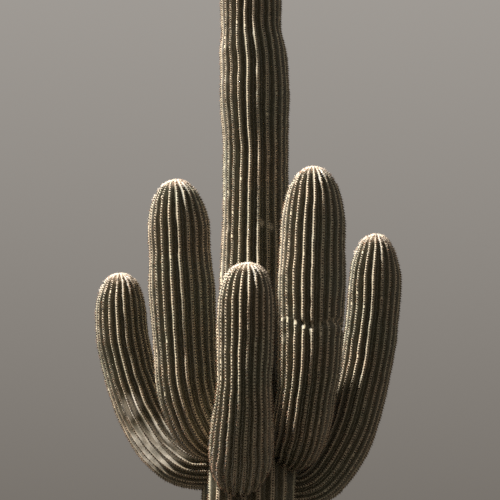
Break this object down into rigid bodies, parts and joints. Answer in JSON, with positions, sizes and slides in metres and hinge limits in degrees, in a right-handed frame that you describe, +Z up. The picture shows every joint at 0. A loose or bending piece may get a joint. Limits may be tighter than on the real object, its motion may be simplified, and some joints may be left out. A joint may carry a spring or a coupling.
{
  "type": "saguaro cactus",
  "caption": "Tall ribbed saguaro cactus with a thick trunk and a cluster of upturned, round-tipped arms, rooted in the ground.",
  "frame": {"origin": "middle of the flat cut under the trunk, at ground level", "axes": "+Z up along the trunk, +X to the right and -Y towards a viewer in front of the plant"},
  "size_m": [2.017, 1.4674, 7.18],
  "materials": {
    "trunk_skin": "waxy olive grey-green skin in deep ribs, with pale scars, brown and corky at the foot",
    "arm_skin": "waxy olive green skin in deep ribs, darker in the valleys",
    "spines": "dull cream, tan and grey spines in rows of clusters along the crest of every rib",
    "felt": "matt woolly felt cushions under the spines, pale at the growing tips"
  },
  "bodies": {
    "root": {"trunk": "trunk_skin", "left_arm_root": "arm_skin", "left_arm_elbow": "arm_skin", "left_arm_column": "arm_skin", "mid_left_arm_root": "arm_skin", "mid_left_arm_column": "arm_skin", "front_arm_root": "arm_skin", "front_arm_elbow": "arm_skin", "front_arm_column": "arm_skin", "mid_right_arm_root": "arm_skin", "mid_right_arm_column": "arm_skin", "right_arm_root": "arm_skin", "right_arm_elbow": "arm_skin", "right_arm_column": "arm_skin"}
  },
  "joints": []
}
